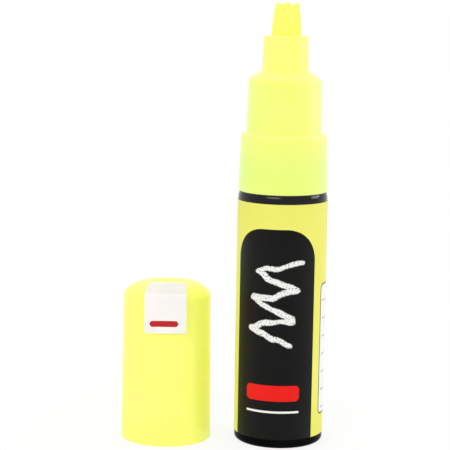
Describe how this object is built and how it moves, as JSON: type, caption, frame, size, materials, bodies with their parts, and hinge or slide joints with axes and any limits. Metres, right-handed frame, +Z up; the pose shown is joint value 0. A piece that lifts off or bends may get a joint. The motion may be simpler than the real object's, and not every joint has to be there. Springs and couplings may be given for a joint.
{
  "type": "liquid chalk marker",
  "caption": "Round liquid chalk marker with a chisel nib fed by a spring valve, a stepped front, a printed barrel and a loose cap with a clip standing beside it.",
  "frame": {"origin": "middle of the barrel's base, on the surface that the marker stands on", "axes": "+Z up along the marker's axis towards the nib; -Y is the front, which the cap's clip faces; the cap stands towards -X"},
  "size_m": [0.0539, 0.0256, 0.1156],
  "materials": {
    "barrel_black": "glossy moulded black",
    "printed_film": "satin printed film, yellow and black",
    "front_yellow": "satin translucent fluorescent yellow",
    "seal_rubber": "matte",
    "nib_fibre": "pressed fibre soaked with yellow ink",
    "valve_white": "natural moulded",
    "spring_steel": "drawn stainless wire",
    "ball_steel": "polished",
    "cap_yellow": "satin fluorescent yellow",
    "liner_natural": "natural milky",
    "clip_white": "satin white"
  },
  "bodies": {
    "marker": {"barrel": "barrel_black", "label_film": "printed_film", "front_section": "front_yellow", "joint_seal": "seal_rubber", "valve_seat": "valve_white", "valve_cage": "valve_white", "valve_spring": "spring_steel"},
    "nib_unit": {"nib": "nib_fibre", "valve_plunger": "valve_white", "plunger_seal": "seal_rubber"},
    "ball_1": {"agitator_ball_1": "ball_steel"},
    "ball_2": {"agitator_ball_2": "ball_steel"},
    "cap": {"cap_shell": "cap_yellow", "inner_cap": "liner_natural", "cap_clip": "clip_white"}
  },
  "joints": [
    {"name": "nib_press", "type": "slide", "parent": "marker", "child": "nib_unit", "axis": [0, 0, -1], "range_m": [0, 0.0015], "stiffness_N_per_m": 300, "springref_m": -0.003, "deforming": ["valve_spring"]},
    {"name": "ball_1_travel", "type": "slide", "parent": "marker", "child": "ball_1", "axis": [0, 0, 1], "range_m": [0, 0.049]},
    {"name": "ball_2_travel", "type": "slide", "parent": "marker", "child": "ball_2", "axis": [0, 0, 1], "range_m": [0, 0.049]},
    {"name": "cap_lift", "type": "slide", "parent": "marker", "child": "cap", "axis": [0, 0, 1], "range_m": [0, 0.12]}
  ]
}
